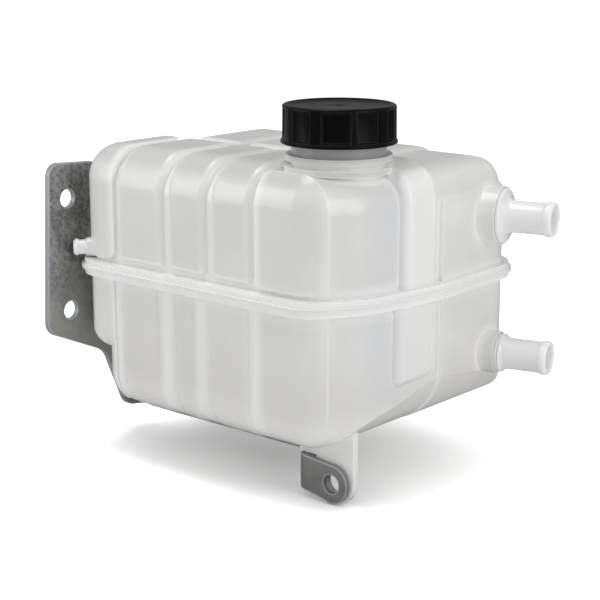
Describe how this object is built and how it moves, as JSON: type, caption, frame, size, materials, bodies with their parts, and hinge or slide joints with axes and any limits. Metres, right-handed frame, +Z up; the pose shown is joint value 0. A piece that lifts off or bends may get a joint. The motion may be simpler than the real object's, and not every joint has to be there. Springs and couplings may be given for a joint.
{
  "type": "coolant expansion tank",
  "caption": "Translucent plastic coolant expansion tank with a black ribbed screw cap, hose spigots, a moulded leg and a folded steel mounting bracket.",
  "frame": {"origin": "midway between the two holes of the mounting bracket, on the plate's outer face", "axes": "+X from the mounting plate along the lobed front wall, +Y to the back of the tank, +Z up along the filler neck"},
  "size_m": [0.2955, 0.2222, 0.257],
  "materials": {
    "tank_plastic": "milky translucent natural polypropylene, soft gloss",
    "fitting_plastic": "milky translucent natural polypropylene, soft gloss",
    "bracket_steel": "dark mottled satin steel, bright edges",
    "screw_steel": "zinc plated",
    "bush_steel": "zinc plated",
    "cap_plastic": "black, satin",
    "valve_plastic": "black, matt",
    "rubber": "matt",
    "spring_steel": "bright spring wire"
  },
  "bodies": {
    "tank": {"upper_shell": "tank_plastic", "lower_shell": "tank_plastic", "upper_hose_fitting": "fitting_plastic", "lower_hose_fitting": "fitting_plastic", "vent_fitting": "fitting_plastic", "mounting_bracket": "bracket_steel", "bracket_screws": "screw_steel", "bracket_washers": "screw_steel", "leg_bush": "bush_steel"},
    "insert": {"valve_housing": "valve_plastic", "neck_seal": "rubber", "spring_retainer": "valve_plastic", "pressure_spring": "spring_steel"},
    "cap": {"cap_shell": "cap_plastic", "cap_liner": "rubber"},
    "pressure_disc": {"pressure_plunger": "valve_plastic", "pressure_seal": "rubber", "vacuum_spring": "spring_steel"},
    "vacuum_disc": {"vacuum_valve": "valve_plastic"}
  },
  "joints": [
    {"name": "cap_rise", "type": "slide", "parent": "tank", "child": "insert", "axis": [0, 0, 1], "range_m": [0, 0.03]},
    {"name": "cap_turn", "type": "hinge", "parent": "insert", "child": "cap", "pos_m": [0.203, 0.055, 0.1], "axis": [0, 0, 1], "range_deg": [0, 1800]},
    {"name": "pressure_lift", "type": "slide", "parent": "insert", "child": "pressure_disc", "axis": [0, 0, 1], "range_m": [0, 0.003], "stiffness_N_per_m": 600, "springref_m": -0.0005, "deforming": ["pressure_spring"]},
    {"name": "vacuum_drop", "type": "slide", "parent": "pressure_disc", "child": "vacuum_disc", "axis": [0, 0, -1], "range_m": [0, 0.0014], "stiffness_N_per_m": 80, "springref_m": -0.0003, "deforming": ["vacuum_spring"]}
  ],
  "couplings": [
    {"joint": "cap_turn", "follows": "cap_rise", "rad_per_m": 1047.2}
  ]
}
